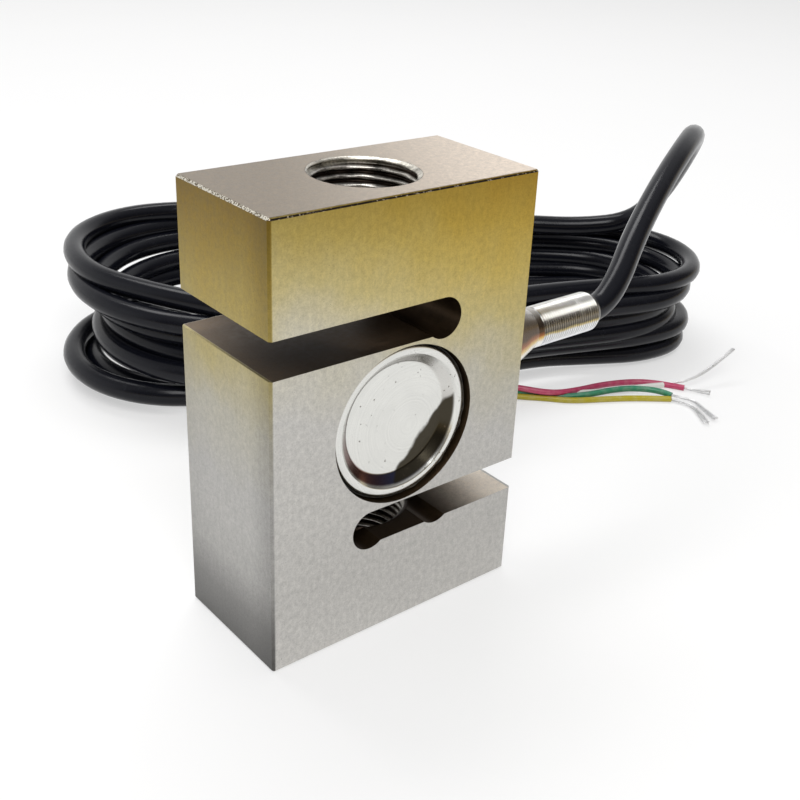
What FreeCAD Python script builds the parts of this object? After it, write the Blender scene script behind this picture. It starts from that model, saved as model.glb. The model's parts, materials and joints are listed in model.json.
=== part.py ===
# S-type load cell: a slotted spring element with a tapped hole in each end, gauge pockets
# closed by pressed covers, and a cable that leaves a threaded gland on its right side.
# Millimetres. +Z is the load axis, +X the side with the gland, -Y the front. The origin is
# the middle of the lower end face, on the common axis of both tapped holes.
import FreeCAD, Part
import math
import os

V = FreeCAD.Vector
X, Y, Z = V(1, 0, 0), V(0, 1, 0), V(0, 0, 1)

# Spring element
block_width = 50.8
block_depth = 25.4
block_height = 76.2
edge_chamfer = 0.4
thread_radius = 9.0        # M18 x 1.5, at its major diameter
bore_radius = 13.8         # the gauge pockets' mouth
bore_drop = 0.3            # the pockets' axis lies this far below mid height
web_thickness = 4.0        # metal left between the front and the rear pocket
slot_height = 6.2
upper_wall = 0.45          # thinnest metal between the pockets' mouth and the upper slot
lower_wall = 0.25          # the same for the lower slot
relief_radius = 3.5        # holes drilled from front to back along the slots
upper_slot_end_x = 6.95    # axis of the hole that ends the upper slot
lower_slot_end_x = -6.5    # axis of the hole that ends the lower slot
lower_relief_x = 7.4       # second hole along the lower slot

# Pressed covers
cover_sheet = 0.8
cover_recess = 0.95        # from the block's face to the cover's rim
cover_skirt = 3.45         # rim to the edge that stands on the ledge
cover_dish = 1.85          # rim to the flat bottom
cover_flat_radius = 9.4
cover_rim_width = 1.1
cover_rim_roll = 0.28      # chamfer that stands for the rim's rolled edge
seal_gap = 0.6             # ring between the cover and the pocket's wall
seal_recess = 1.5
seal_clearance = 0.03

# Gauges on the web
gauge_length = 7.0
gauge_width = 4.2
gauge_thickness = 0.2
gauge_offset = 4.6
terminal_length = 9.0
terminal_width = 3.0
terminal_thickness = 0.8
terminal_drop = 8.6

# Gland
gland_z = 41.0
washer_radius = 7.6
washer_thickness = 1.0
stub_radius = 3.9
stub_length = 6.5
stub_clearance = 0.1
wire_hole_radius = 2.6
hex_flats = 14.0
hex_thickness = 3.8
hex_corner_chamfer = 0.5
cone_radius = 6.9          # where the cone leaves the hexagon
cone_length = 8.3
neck_length = 1.4          # plain, as wide as the sleeve
sleeve_radius = 3.9        # M8 x 0.75 outside
sleeve_length = 16.0       # past the neck
sleeve_chamfer = 1.3
spigot_radius = 3.3
spigot_length = 3.0
spigot_clearance = 0.05
plug_radius = 3.05
plug_length = 4.0
plug_clearance = 0.03

# Cable, in the order from the gland to the free end. Each point is (x from the gland's
# mouth, y from the block's middle, z above the surface that the block stands on).
cable_diameter = 5.2
core_diameter = 1.5
strand_diameter = 0.7
arc_share = 0.45           # how much of the shorter run beside it a bend's arc takes
mouth_rise = 3.6           # from the gland's axis to the lead's first bend past the mouth
lead_route = [(0, 0, gland_z), (3.3, 0, gland_z), (9.4, 1.2, gland_z + mouth_rise),
              (22.9, 7.3, 51.3), (38.6, 15, 58), (52.1, 21.5, 62.2), (64.1, 28.5, 62.6),
              (74.1, 36.5, 57.5), (81.1, 45.5, 47.5), (85.6, 54.5, 36.5), (84.9, 64.2, 28),
              (79.1, 72.5, 25.1)]
tail_route = [(-17.9, 61, 2.6), (-10.4, 57.9, 2.6), (2.1, 51.3, 2.6), (14.1, 42.5, 2.6)]
core_exits = {"red": (1, -1), "white": (1, 1), "green": (-1, 1), "yellow": (-1, -1)}
core_spread = 0.85         # each core's axis from the cable's, sideways and upwards
core_exit = 3.2            # straight stretch out of the sheath
strand_exit = 2.2          # straight stretch out of the insulation
core_routes = {
    "red": [(22.1, 38.9, 1), (34.4, 32.3, 0.75), (52.6, 25.4, 0.75), (61.1, 17, 0.75)],
    "white": [(22.7, 38, 3.5), (35.4, 30.1, 2.4), (49.9, 24.2, 2.35), (56.4, 20.6, 2.3)],
    "green": [(21.3, 37.3, 1.95), (32.4, 31, 0.75), (47.2, 24.6, 0.75), (54.7, 16.4, 0.75)],
    "yellow": [(19.7, 36, 0.8), (31.4, 28.2, 0.75), (46.9, 18.8, 0.75), (53.4, 14, 0.75)],
}
strand_routes = {
    "red": [(65.3, 12.4, 0.6)],
    "white": [(62.6, 16.4, 3.8), (69.6, 12.6, 8)],
    "green": [(56.4, 9, 0.6), (53.4, 3, 0.6)],
    "yellow": [(54.8, 8.8, 0.6)],
}
coil_centre = (14.1, 79)   # x and y, as the routes' points
coil_angle = -27.0         # of its long axis, seen from above
coil_left_span = 45.0      # from the middle to the wide left bend's centre
coil_right_span = 54.0
coil_left_radius = 31.0
coil_right_radius = 23.5
coil_half_width = 6.4      # of the pile of turns
coil_height = 29.8         # at the middle of the coil
coil_lean = 1.9            # degrees that the pile's top falls towards the right
step_clearance = 0.3       # round the lead's and the tail's ends in the pile
step_length = 66.0         # of the steps that the first and the last turn lie in
step_width = 20.0          # past the pile's walls

overshoot = 1.0            # how far a through cut starts and ends outside the block

mid_z = block_height / 2
bore_z = mid_z - bore_drop
upper_slot_z = bore_z + bore_radius + upper_wall + slot_height / 2
lower_slot_z = bore_z - bore_radius - lower_wall - slot_height / 2
relief_drop = relief_radius - slot_height / 2      # each hole is flush with its slot's ceiling
front_y = -block_depth / 2
cover_radius = bore_radius - seal_gap
pocket_radius = cover_radius - cover_sheet
ledge_depth = cover_recess + cover_skirt
face_x = block_width / 2
washer_x = face_x + washer_thickness
cone_x = washer_x + hex_thickness
neck_x = cone_x + cone_length
sleeve_x = neck_x + neck_length
sleeve_end_x = sleeve_x + sleeve_length


def cylinder(radius, length, base, direction):
    return Part.makeCylinder(radius, length, base, direction)


def turned(profile, axis_point, axis):
    """A closed list of points revolved a full turn round an axis."""
    face = Part.Face(Part.makePolygon(profile + profile[:1]))
    return face.revolve(axis_point, axis, 360)


def ring(outer, inner, length, base, direction):
    return cylinder(outer, length, base, direction).cut(cylinder(inner, length, base, direction))


def half_turned(shape):
    """The same piece on the rear face."""
    return shape.rotated(V(0, 0, 0), Z, 180)


def sensor_body():
    body = Part.makeBox(block_width, block_depth, block_height, V(-block_width / 2, front_y, 0))
    body = body.makeChamfer(edge_chamfer, body.Edges)
    seat = cylinder(bore_radius, ledge_depth, V(0, front_y, bore_z), Y)
    pocket = cylinder(pocket_radius, (block_depth - web_thickness) / 2, V(0, front_y, bore_z), Y)
    front_pocket = seat.fuse(pocket)
    start_x, start_y = -face_x - overshoot, front_y - overshoot
    slot_depth = block_depth + 2 * overshoot
    upper_slot = Part.makeBox(upper_slot_end_x - start_x, slot_depth, slot_height,
                              V(start_x, start_y, upper_slot_z - slot_height / 2))
    lower_slot = Part.makeBox(-start_x - lower_slot_end_x, slot_depth, slot_height,
                              V(lower_slot_end_x, start_y, lower_slot_z - slot_height / 2))
    reliefs = [cylinder(relief_radius, slot_depth, V(x, start_y, z - relief_drop), Y)
               for x, z in ((upper_slot_end_x, upper_slot_z), (lower_slot_end_x, lower_slot_z),
                            (lower_relief_x, lower_slot_z))]
    upper_hole = cylinder(thread_radius, block_height - upper_slot_z, V(0, 0, upper_slot_z), Z)
    lower_hole = cylinder(thread_radius, lower_slot_z, V(0, 0, 0), Z)
    socket = cylinder(stub_radius + stub_clearance, stub_length + stub_clearance,
                      V(face_x, 0, gland_z), -X)
    # The wire hole ends in the web's edge, and so opens into both pockets.
    wire_hole = cylinder(wire_hole_radius, face_x, V(face_x, 0, gland_z), -X)
    wire_hole = wire_hole.cut(cylinder(pocket_radius - web_thickness, block_depth,
                                       V(0, front_y, bore_z), Y))
    cuts = [front_pocket, half_turned(front_pocket), upper_slot, lower_slot, upper_hole,
            lower_hole, socket, wire_hole] + reliefs
    return body.cut(cuts).removeSplitter()


def front_cover():
    """A dished sheet cap, turned from its section: skirt, rolled rim, cone and flat bottom."""
    def at(radius, depth):
        return V(radius, front_y + cover_recess + depth, bore_z)
    rim_inner = cover_radius - cover_rim_width
    roll = cover_rim_roll
    slope = (cover_dish - roll) / (rim_inner - cover_flat_radius)
    under = cover_sheet * math.hypot(1, slope)      # the cone's thickness, measured along Y
    profile = [at(0, cover_dish), at(cover_flat_radius, cover_dish), at(rim_inner, roll),
               at(rim_inner + roll, 0), at(cover_radius - roll, 0), at(cover_radius, roll),
               at(cover_radius, cover_skirt), at(pocket_radius, cover_skirt),
               at(pocket_radius, cover_dish + under - slope * (pocket_radius - cover_flat_radius)),
               at(cover_flat_radius + (under - cover_sheet) / slope, cover_dish + cover_sheet),
               at(0, cover_dish + cover_sheet)]
    return turned(profile, V(0, 0, bore_z), Y)


def front_seal():
    inner = cover_radius + seal_clearance
    return ring(bore_radius - seal_clearance, inner, ledge_depth - seal_recess,
                V(0, front_y + seal_recess, bore_z), Y)


def front_gauge(side):
    """A foil gauge on the web, at 45 degrees; side is -1 for left and 1 for right."""
    plate = Part.makeBox(gauge_length, gauge_thickness, gauge_width,
                         V(-gauge_length / 2, -web_thickness / 2 - gauge_thickness,
                           -gauge_width / 2))
    plate.rotate(V(0, 0, 0), Y, 45 * side)
    plate.translate(V(gauge_offset * side, 0, bore_z))
    return plate


def front_terminal():
    return Part.makeBox(terminal_length, terminal_thickness, terminal_width,
                        V(-terminal_length / 2, -web_thickness / 2 - terminal_thickness,
                          bore_z - terminal_drop - terminal_width / 2))


def gland_axis_at(x):
    return V(x, 0, gland_z)


def gland_washer():
    return ring(washer_radius, stub_radius + stub_clearance, washer_thickness,
                gland_axis_at(face_x), X)


def gland_body():
    """Stub, hexagon, cone and neck, bored for the sleeve's spigot."""
    def at(x, radius):
        return V(x, 0, gland_z + radius)
    bore = wire_hole_radius
    pocket = spigot_radius + spigot_clearance
    turned_part = turned(
        [at(washer_x - stub_length - washer_thickness, bore),
         at(washer_x - stub_length - washer_thickness, stub_radius),
         at(washer_x, stub_radius), at(washer_x, cone_radius), at(cone_x, cone_radius),
         at(neck_x, sleeve_radius), at(sleeve_x, sleeve_radius), at(sleeve_x, pocket),
         at(sleeve_x - spigot_length, pocket), at(sleeve_x - spigot_length, bore)],
        gland_axis_at(0), X)
    corner = hex_flats / 2 / math.cos(math.pi / 6)
    corners = [V(washer_x, corner * math.cos(math.radians(60 * i + 90)),
                 gland_z + corner * math.sin(math.radians(60 * i + 90))) for i in range(6)]
    hexagon = Part.Face(Part.makePolygon(corners + corners[:1])).extrude(X * hex_thickness)
    chamfered = turned([at(washer_x, 0), at(washer_x, corner - hex_corner_chamfer),
                        at(washer_x + hex_corner_chamfer, corner),
                        at(cone_x - hex_corner_chamfer, corner),
                        at(cone_x, corner - hex_corner_chamfer), at(cone_x, 0)],
                       gland_axis_at(0), X)
    hexagon = hexagon.common(chamfered)
    hexagon = hexagon.cut(cylinder(bore, hex_thickness, gland_axis_at(washer_x), X))
    return turned_part.fuse(hexagon).removeSplitter()


def gland_sleeve():
    """The threaded barrel: spigot in the nose, chamfered mouth, counterbore for the plug."""
    def at(x, radius):
        return V(x, 0, gland_z + radius)
    seat = plug_radius + plug_clearance
    start_x = sleeve_x - spigot_length
    return turned(
        [at(start_x, wire_hole_radius), at(start_x, spigot_radius), at(sleeve_x, spigot_radius),
         at(sleeve_x, sleeve_radius), at(sleeve_end_x - sleeve_chamfer, sleeve_radius),
         at(sleeve_end_x, sleeve_radius - sleeve_chamfer / 2), at(sleeve_end_x, seat),
         at(sleeve_end_x - plug_length, seat), at(sleeve_end_x - plug_length, wire_hole_radius)],
        gland_axis_at(0), X)


def gland_plug():
    return cylinder(plug_radius, plug_length, gland_axis_at(sleeve_end_x - plug_length), X)


def from_mouth(route):
    """A route's points in the block's frame, where the gland's mouth is on the block's right."""
    return [(x + sleeve_end_x, y, z) for x, y, z in route]


def tube(name, points, diameter):
    """A cord's tube: straight runs joined by tangent arcs, as wide as the runs allow."""
    points = [V(*p) for p in points]
    pieces, radii, start, ideal = [], [], points[0], 0
    for before, corner, after in zip(points, points[1:], points[2:]):
        back, ahead = before - corner, after - corner
        trim = arc_share * min(back.Length, ahead.Length)
        turn = math.pi - back.getAngle(ahead)
        back.normalize()
        ahead.normalize()
        radius = trim / math.tan(turn / 2)
        arc_start, arc_end = corner + back * trim, corner + ahead * trim
        centre = corner + (back + ahead).normalize() * math.hypot(radius, trim)
        disc = Part.Face(Part.Wire(Part.Circle(arc_start, back, diameter / 2).toShape()))
        pieces.append(cylinder(diameter / 2, (arc_start - start).Length, start, arc_start - start))
        pieces.append(disc.revolve(centre, ahead.cross(back), math.degrees(turn)))
        ideal += (arc_start - start).Length + radius * turn
        radii.append(radius)
        start = arc_end
    pieces.append(cylinder(diameter / 2, (points[-1] - start).Length, start, points[-1] - start))
    ideal = (ideal + (points[-1] - start).Length) * math.pi * diameter ** 2 / 4
    solid = pieces[0].fuse(pieces[1:])
    print(name, "volume ratio %.4f" % (solid.Volume / ideal),
          "radii", " ".join("%.1f" % r for r in radii))
    return solid


def leaving(route, sideways, upwards, length):
    """Two points straight out of a tube's end face, moved sideways and upwards on it."""
    end = V(*route[-1])
    ahead = (end - V(*route[-2])).normalize()
    start = end + Z.cross(ahead).normalize() * sideways + Z * upwards
    return [tuple(start), tuple(start + ahead * length)]


def belt_face(offset):
    """The coil's outline, a belt round a wide and a narrow bend, moved out by offset."""
    left, right = coil_left_radius + offset, coil_right_radius + offset
    slope = math.asin((left - right) / (coil_left_span + coil_right_span))
    across, along = math.cos(slope), math.sin(slope)
    upper_right = V(coil_right_span + right * along, right * across, 0)
    upper_left = V(-coil_left_span + left * along, left * across, 0)
    lower_right = V(upper_right.x, -upper_right.y, 0)
    lower_left = V(upper_left.x, -upper_left.y, 0)
    return Part.Face(Part.Wire([
        Part.Arc(lower_right, V(coil_right_span + right, 0, 0), upper_right).toShape(),
        Part.LineSegment(upper_right, upper_left).toShape(),
        Part.Arc(upper_left, V(-coil_left_span - left, 0, 0), lower_left).toShape(),
        Part.LineSegment(lower_left, lower_right).toShape()]))


def end_cut(end, before, reach, inner, outer, below, above):
    """A box behind a tube's end: its wall takes the end's face, the tube lies in the rest."""
    back = V(*before) - V(*end)
    box = Part.makeBox(reach, inner + outer, below + above, V(0, -outer, -below))
    box.Placement = FreeCAD.Placement(V(*end), FreeCAD.Rotation(X, back)).multiply(box.Placement)
    return box


def cable_coil():
    """The outer shape of the pile of turns, stepped where its first and last turn end."""
    pile = belt_face(coil_half_width).cut(belt_face(-coil_half_width))
    pile = pile.extrude(Z * (coil_height * 2))
    length = coil_left_span + coil_right_span + coil_left_radius + coil_right_radius
    above = Part.makeBox(2 * length, 2 * length, coil_height * 2, V(-length, -length, 0))
    above.rotate(V(0, 0, 0), Y, coil_lean)
    above.translate(Z * coil_height)
    pile = pile.cut(above)
    pile.rotate(V(0, 0, 0), Z, coil_angle)
    pile.translate(V(coil_centre[0] + sleeve_end_x, coil_centre[1], 0))
    room = cable_diameter / 2 + step_clearance
    lead, tail = from_mouth(lead_route), from_mouth(tail_route)
    top_step = end_cut(lead[-1], lead[-2], step_length, step_width, step_width, room, coil_height)
    low_step = end_cut(tail[0], tail[1], step_length, room, step_width, coil_height, room)
    return pile.cut([top_step, low_step])


def save(name, shape):
    solids = shape.Solids
    if len(solids) != 1 or not solids[0].isValid():
        raise ValueError("%s has %d solids" % (name, len(solids)))
    solids[0].exportStep("parts/%s.step" % name)


def main():
    os.makedirs("parts", exist_ok=True)
    save("sensor_body", sensor_body())
    for name, shape in (("cover", front_cover()), ("seal", front_seal()),
                        ("gauge_left", front_gauge(-1)), ("gauge_right", front_gauge(1)),
                        ("terminal_board", front_terminal())):
        save("front_" + name, shape)
        save("rear_" + name, half_turned(shape))
    save("gland_washer", gland_washer())
    save("gland_body", gland_body())
    save("gland_sleeve", gland_sleeve())
    save("gland_plug", gland_plug())
    tail = from_mouth(tail_route)
    save("cable_lead", tube("cable_lead", from_mouth(lead_route), cable_diameter))
    save("cable_coil", cable_coil())
    save("cable_tail", tube("cable_tail", tail, cable_diameter))
    for colour, (sideways, upwards) in core_exits.items():
        core = leaving(tail, sideways * core_spread, upwards * core_spread, core_exit)
        core += from_mouth(core_routes[colour])
        save("core_" + colour, tube("core_" + colour, core, core_diameter))
        strand = leaving(core, 0, 0, strand_exit) + from_mouth(strand_routes[colour])
        save("strand_" + colour, tube("strand_" + colour, strand, strand_diameter))


main()
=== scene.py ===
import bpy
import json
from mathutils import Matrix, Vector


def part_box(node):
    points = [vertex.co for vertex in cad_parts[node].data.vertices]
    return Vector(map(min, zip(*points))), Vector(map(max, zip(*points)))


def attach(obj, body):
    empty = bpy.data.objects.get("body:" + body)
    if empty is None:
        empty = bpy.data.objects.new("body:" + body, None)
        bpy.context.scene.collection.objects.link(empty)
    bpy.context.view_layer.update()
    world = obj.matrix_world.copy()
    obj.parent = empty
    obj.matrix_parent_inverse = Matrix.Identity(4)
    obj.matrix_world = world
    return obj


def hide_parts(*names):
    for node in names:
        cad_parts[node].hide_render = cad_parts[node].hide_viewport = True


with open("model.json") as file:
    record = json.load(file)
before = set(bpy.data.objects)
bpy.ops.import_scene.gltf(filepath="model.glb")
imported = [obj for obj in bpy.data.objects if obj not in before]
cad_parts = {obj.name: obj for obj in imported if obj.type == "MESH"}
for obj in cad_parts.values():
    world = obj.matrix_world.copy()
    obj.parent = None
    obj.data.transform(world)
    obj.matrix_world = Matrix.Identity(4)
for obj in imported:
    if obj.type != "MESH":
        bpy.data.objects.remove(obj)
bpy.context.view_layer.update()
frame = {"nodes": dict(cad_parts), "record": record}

import json
import math

import bpy
import numpy as np
from bpy.props import FloatProperty, FloatVectorProperty, IntProperty, PointerProperty
from mathutils import Matrix, Vector

bl_info = {
    "name": "S-type load cell",
    "version": (1, 0, 0),
    "blender": (4, 5, 0),
    "location": "View3D > Sidebar > Load cell",
    "description": "Dresses a slotted load cell: threads, pressed covers, sealant and cable",
    "category": "Add Mesh",
}

BODY = "root"
MM = 0.001
BLOCK_LOW, BLOCK_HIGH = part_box("sensor_body")
COVER_LOW, COVER_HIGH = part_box("front_cover")
SEAL_LOW, SEAL_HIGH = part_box("front_seal")
SLEEVE_LOW, SLEEVE_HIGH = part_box("gland_sleeve")
MOUTH_X = SLEEVE_HIGH.x
GLAND_Z = (SLEEVE_LOW.z + SLEEVE_HIGH.z) / 2
SLEEVE_RADIUS = (SLEEVE_HIGH.z - SLEEVE_LOW.z) / 2
BORE_Z = (COVER_LOW.z + COVER_HIGH.z) / 2
NOSE_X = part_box("gland_body")[1].x
EDGE = 0.4 * MM  # the block's chamfer
LOWER_SLOT_FLOOR = 17.55 * MM

# The heights between which the painted warm reflection on the plating deepens on the front, by
# its left edge. The lean is how much lower the painted reflection lies for each metre to the
# right, and the flank's is how much lower it lies on the left flank.
WARM_REFLECTION_HEIGHTS = (45 * MM, 92 * MM)
WARM_REFLECTION_LEAN = 0.34
WARM_REFLECTION_FLANK = 15 * MM

# The camera: its place, the way its axes point, its focal length and sideways shift.
CAMERA_PLACE = Vector((-0.103993, -0.136578, 0.12314))
CAMERA_RIGHT = Vector((0.7615, -0.6458, 0.055))
CAMERA_DOWN = Vector((-0.2453, -0.3657, -0.8978))
CAMERA_AHEAD = Vector((0.5999, 0.6702, -0.437))
FOCAL_LENGTH = 51.316
LENS_SHIFT = (-0.0501, -0.0140)

# Routes, as (x from the gland's mouth, y, z) in metres.
LEAD = [(0, 0, 0.041), (0.0033, 0, 0.041), (0.0091, 0.0012, 0.0446), (0.0205, 0.0073, 0.0513),
        (0.0371, 0.015, 0.058), (0.0516, 0.0215, 0.0622), (0.0641, 0.0285, 0.0626),
        (0.0746, 0.0365, 0.0575), (0.0821, 0.0455, 0.0475), (0.0871, 0.0545, 0.0365),
        (0.0863, 0.0625, 0.0275)]
TAIL = [(-0.0104, 0.0579, 0.0026), (0.0021, 0.0513, 0.0026), (0.0141, 0.0425, 0.0026)]
CORES = {
    "red": [(0.0146, 0.04319, 0.00345), (0.01678, 0.04159, 0.00345), (0.0212, 0.0378, 0.003),
            (0.0272, 0.0313, 0.0023), (0.0358, 0.0305, 0.0013), (0.0433, 0.0302, 0.00075),
            (0.0502, 0.0277, 0.00075), (0.0548, 0.0246, 0.00075), (0.058, 0.0204, 0.00075),
            (0.0601, 0.0169, 0.00075)],
    "white": [(0.0146, 0.04319, 0.00175), (0.01678, 0.04159, 0.00175), (0.0252, 0.0378, 0.0009),
              (0.0315, 0.0326, 0.0008), (0.0381, 0.0285, 0.00075), (0.0454, 0.0257, 0.00075),
              (0.0521, 0.0231, 0.00075), (0.0569, 0.0211, 0.00075)],
    "green": [(0.0136, 0.04181, 0.00345), (0.01578, 0.04022, 0.00345), (0.0238, 0.0366, 0.001),
              (0.0297, 0.031, 0.0008), (0.0355, 0.0272, 0.0014), (0.042, 0.025, 0.0019),
              (0.0468, 0.0229, 0.0019), (0.0522, 0.0184, 0.0016), (0.0528, 0.0152, 0.0014)],
    "yellow": [(0.0136, 0.04181, 0.00175), (0.01578, 0.04022, 0.00175), (0.0213, 0.0367, 0.0009),
               (0.0262, 0.0327, 0.00075), (0.0305, 0.0281, 0.00075), (0.0383, 0.024, 0.00075),
               (0.0455, 0.0199, 0.00075), (0.0522, 0.0147, 0.00075)],
}
STRANDS = {
    "red": [(0.0607, 0.0156, 0.0007), (0.0615, 0.0139, 0.0006), (0.0629, 0.0109, 0.0006)],
    "white": [(0.0586, 0.0201, 0.0012), (0.0623, 0.0169, 0.0023), (0.0695, 0.0159, 0.0046),
              (0.0772, 0.0157, 0.0076)],
    "green": [(0.0541, 0.0144, 0.0009), (0.0567, 0.0112, 0.0007), (0.0545, 0.0058, 0.0006),
              (0.0528, 0.0014, 0.0006)],
    "yellow": [(0.0532, 0.0125, 0.00065), (0.0537, 0.0092, 0.0006), (0.0516, 0.0049, 0.0006),
               (0.0493, 0.0013, 0.0006)],
}
CORE_SLOTS = {name: "core_" + name for name in CORES}

# The coil's turns, in millimetres along its long axis and across it, away from the block:
# how far each passes its middle, its bend's radius there and how far the bend is moved across.
# The left bends come half a turn after the right ones of the same place in the lists.
COIL_CENTRE = (0.0141, 0.079)
LEFT_END = [79, 78, 74, 71, 73, 80.2, 76.5, 77]
LEFT_RADIUS = [29, 35.5, 33, 33, 33, 28, 28, 28]
LEFT_SHIFT = [6.5, 0.5, 1, -1, -3, -6, 2, 2]
RIGHT_END = [78, 85.5, 81.5, 77, 78, 82.2, 81, 80]
RIGHT_RADIUS = [20, 23, 25.5, 24.5, 23.5, 20, 18, 18]
RIGHT_SHIFT = [1, 7, 3.5, 3.5, 2.5, 1, -1.5, 0]
# How far each turn's side next to the block bows towards it, at five places 30 mm apart.
NEAR_BOW = [[3, 17, 14, 5, 2], [0, 3, 3, 2, 0], [0, 1, 1, 1, 0], [0, 3, 3, 1, 0],
            [2, 4, 4, 1, 0], [0, 0, 6, -5, -2], [0, 0, 0, 0, 0], [0, 0, 0, 0, 0]]
# The height of the turns above the lowest, after each number of turns from the right end.
TURNS_DONE = [0.085, 0.5, 1, 1.5, 2, 2.42, 2.6, 3, 3.42, 3.6, 3.8, 4, 4.4, 4.55, 4.7, 5, 5.38,
              5.5, 6, 6.6]
TURNS_HEIGHT = [24.6, 22.8, 21.2, 19.2, 17, 16.8, 14.6, 13, 12.7, 10.5, 9.3, 9.2, 9.0, 8.2, 8.2,
                5.8, 4.6, 3.0, 0.4, 0]


# Settings that the panel shows

class ThreadSizes(bpy.types.PropertyGroup):
    mount_pitch: FloatProperty(name="Hole pitch", description="Pitch of both tapped holes",
                               default=1.5 * MM, unit="LENGTH")
    mount_depth: FloatProperty(name="Hole thread depth",
                               description="Root to crest of both holes' thread",
                               default=0.81 * MM, unit="LENGTH")
    gland_pitch: FloatProperty(name="Gland pitch", description="Pitch of the gland's barrel",
                               default=0.6 * MM, unit="LENGTH")
    gland_depth: FloatProperty(name="Gland thread depth",
                               description="Root to crest of the barrel's thread",
                               default=0.22 * MM, unit="LENGTH")


class CoverSizes(bpy.types.PropertyGroup):
    sheet: FloatProperty(name="Sheet", description="Thickness of the covers' sheet",
                         default=0.8 * MM, unit="LENGTH")
    dish: FloatProperty(name="Dish", description="Depth of the flat bottom below the rim",
                        default=1.85 * MM, unit="LENGTH")
    flat_radius: FloatProperty(name="Flat radius", description="Radius of the flat bottom",
                               default=9.9 * MM, unit="LENGTH")
    rim: FloatProperty(name="Rim", description="Width of the rolled rim",
                       default=1.6 * MM, unit="LENGTH")


class CableSizes(bpy.types.PropertyGroup):
    diameter: FloatProperty(name="Cable", description="Outer diameter of the sheath",
                            default=5.2 * MM, unit="LENGTH")
    core_diameter: FloatProperty(name="Core", description="Diameter of an insulated core",
                                 default=1.5 * MM, unit="LENGTH")
    wire_diameter: FloatProperty(name="Wire", description="Diameter of one bare wire",
                                 default=0.2 * MM, unit="LENGTH")
    wires: IntProperty(name="Wires", description="Bare wires in each core's end", default=14)
    turns: FloatProperty(name="Turns", description="Turns in the coil", default=6.6)
    length: FloatProperty(name="Length", description="Whole length of the cable",
                          default=2.6, unit="LENGTH")


class FinishColours(bpy.types.PropertyGroup):
    sheath: FloatVectorProperty(name="Sheath", description="Cable sheath", subtype="COLOR",
                                default=(0.0045, 0.005, 0.0085))
    red: FloatVectorProperty(name="Red core", description="Insulation of the red core",
                             subtype="COLOR", default=(0.50, 0.045, 0.13))
    white: FloatVectorProperty(name="White core", description="Insulation of the white core",
                               subtype="COLOR", default=(0.75, 0.75, 0.72))
    green: FloatVectorProperty(name="Green core", description="Insulation of the green core",
                               subtype="COLOR", default=(0.03, 0.22, 0.12))
    yellow: FloatVectorProperty(name="Yellow core", description="Insulation of the yellow core",
                                subtype="COLOR", default=(0.42, 0.35, 0.012))


# Meshes

def closed_mesh(name, points, closed_rows=False):
    """The surface through points[row, column], closed on itself along its columns: each face
    joins four neighbours of the grid. Rows that aren't closed on themselves end in a fan of
    triangles round their middle. All faces look outwards."""
    rows, columns = points.shape[:2]
    index = np.arange(rows * columns).reshape(rows, columns)
    here, after = (index, np.roll(index, -1, 0)) if closed_rows else (index[:-1], index[1:])
    quads = np.stack([here, np.roll(here, -1, 1), np.roll(after, -1, 1), after], -1)
    quads = quads.reshape(-1, 4)
    vertices, faces = points.reshape(-1, 3), quads.tolist()
    corners = [quads[:, [0, 1, 2]], quads[:, [0, 2, 3]]]
    if not closed_rows:
        ends = []
        for row, order in ((0, 1), (rows - 1, -1)):
            middle = np.full(columns, len(vertices))
            vertices = np.vstack([vertices, points[row].mean(0)])
            ends.append(np.stack([middle, np.roll(index[row], -1), index[row]], -1)[:, ::order])
        corners += ends
        faces += np.vstack(ends).tolist()
    first, second, third = np.moveaxis(vertices[np.vstack(corners)], 1, 0)
    if np.einsum("ij,ij->i", first, np.cross(second, third)).sum() < 0:
        faces = [face[::-1] for face in faces]
    mesh = bpy.data.meshes.new(name)
    mesh.from_pydata(vertices.tolist(), [], faces)
    mesh.shade_smooth()
    return mesh


def vertices_of(mesh):
    """The places of a mesh's vertices, in order."""
    points = np.empty(len(mesh.vertices) * 3)
    mesh.vertices.foreach_get("co", points)
    return points.reshape(-1, 3)


def softened(profile, rounds):
    """Corner cutting: each point gives way to two, a quarter of the way along its sides."""
    for _ in range(rounds):
        early = 0.75 * profile[:-1] + 0.25 * profile[1:]
        late = 0.25 * profile[:-1] + 0.75 * profile[1:]
        between = np.stack([early, late], 1).reshape(-1, profile.shape[1])
        profile = np.vstack([profile[:1], between, profile[-1:]])
    return profile


def add_piece(name, data, material, stands_for=()):
    """An object at the origin that rides on the body and takes the given material as its finish.
    """
    piece = bpy.data.objects.new(name, data)
    bpy.context.scene.collection.objects.link(piece)
    piece.data.materials.append(material)
    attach(piece, BODY)
    if stands_for:
        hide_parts(*stands_for)
    return piece


def smooth_line(name, points, diameter):
    """A round cord on a smooth spline whose control points are points."""
    curve = bpy.data.curves.new(name, "CURVE")
    curve.dimensions = "3D"
    spline = curve.splines.new("NURBS")
    spline.points.add(len(points) - 1)
    spline.points.foreach_set("co", np.column_stack([points, np.ones(len(points))]).ravel())
    spline.order_u = 3
    spline.use_endpoint_u = True
    curve.resolution_u = 6
    curve.bevel_depth = diameter / 2
    curve.bevel_resolution = 5
    curve.use_fill_caps = True
    return curve


def from_mouth(route):
    """A route that is measured from the gland's mouth, in the frame's own place."""
    return np.array(route, float) + (MOUTH_X, 0, 0)


# Finishes

def node_maker(tree):
    """A function that adds a node to tree: sockets given as inputs are joined, values set."""
    def add(kind, inputs=None, **settings):
        made = tree.nodes.new("ShaderNode" + kind)
        for setting, value in settings.items():
            setattr(made, setting, value)
        for socket, value in (inputs or {}).items():
            if isinstance(value, bpy.types.NodeSocket):
                tree.links.new(value, made.inputs[socket])
            else:
                made.inputs[socket].default_value = value
        return made

    return add


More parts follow.
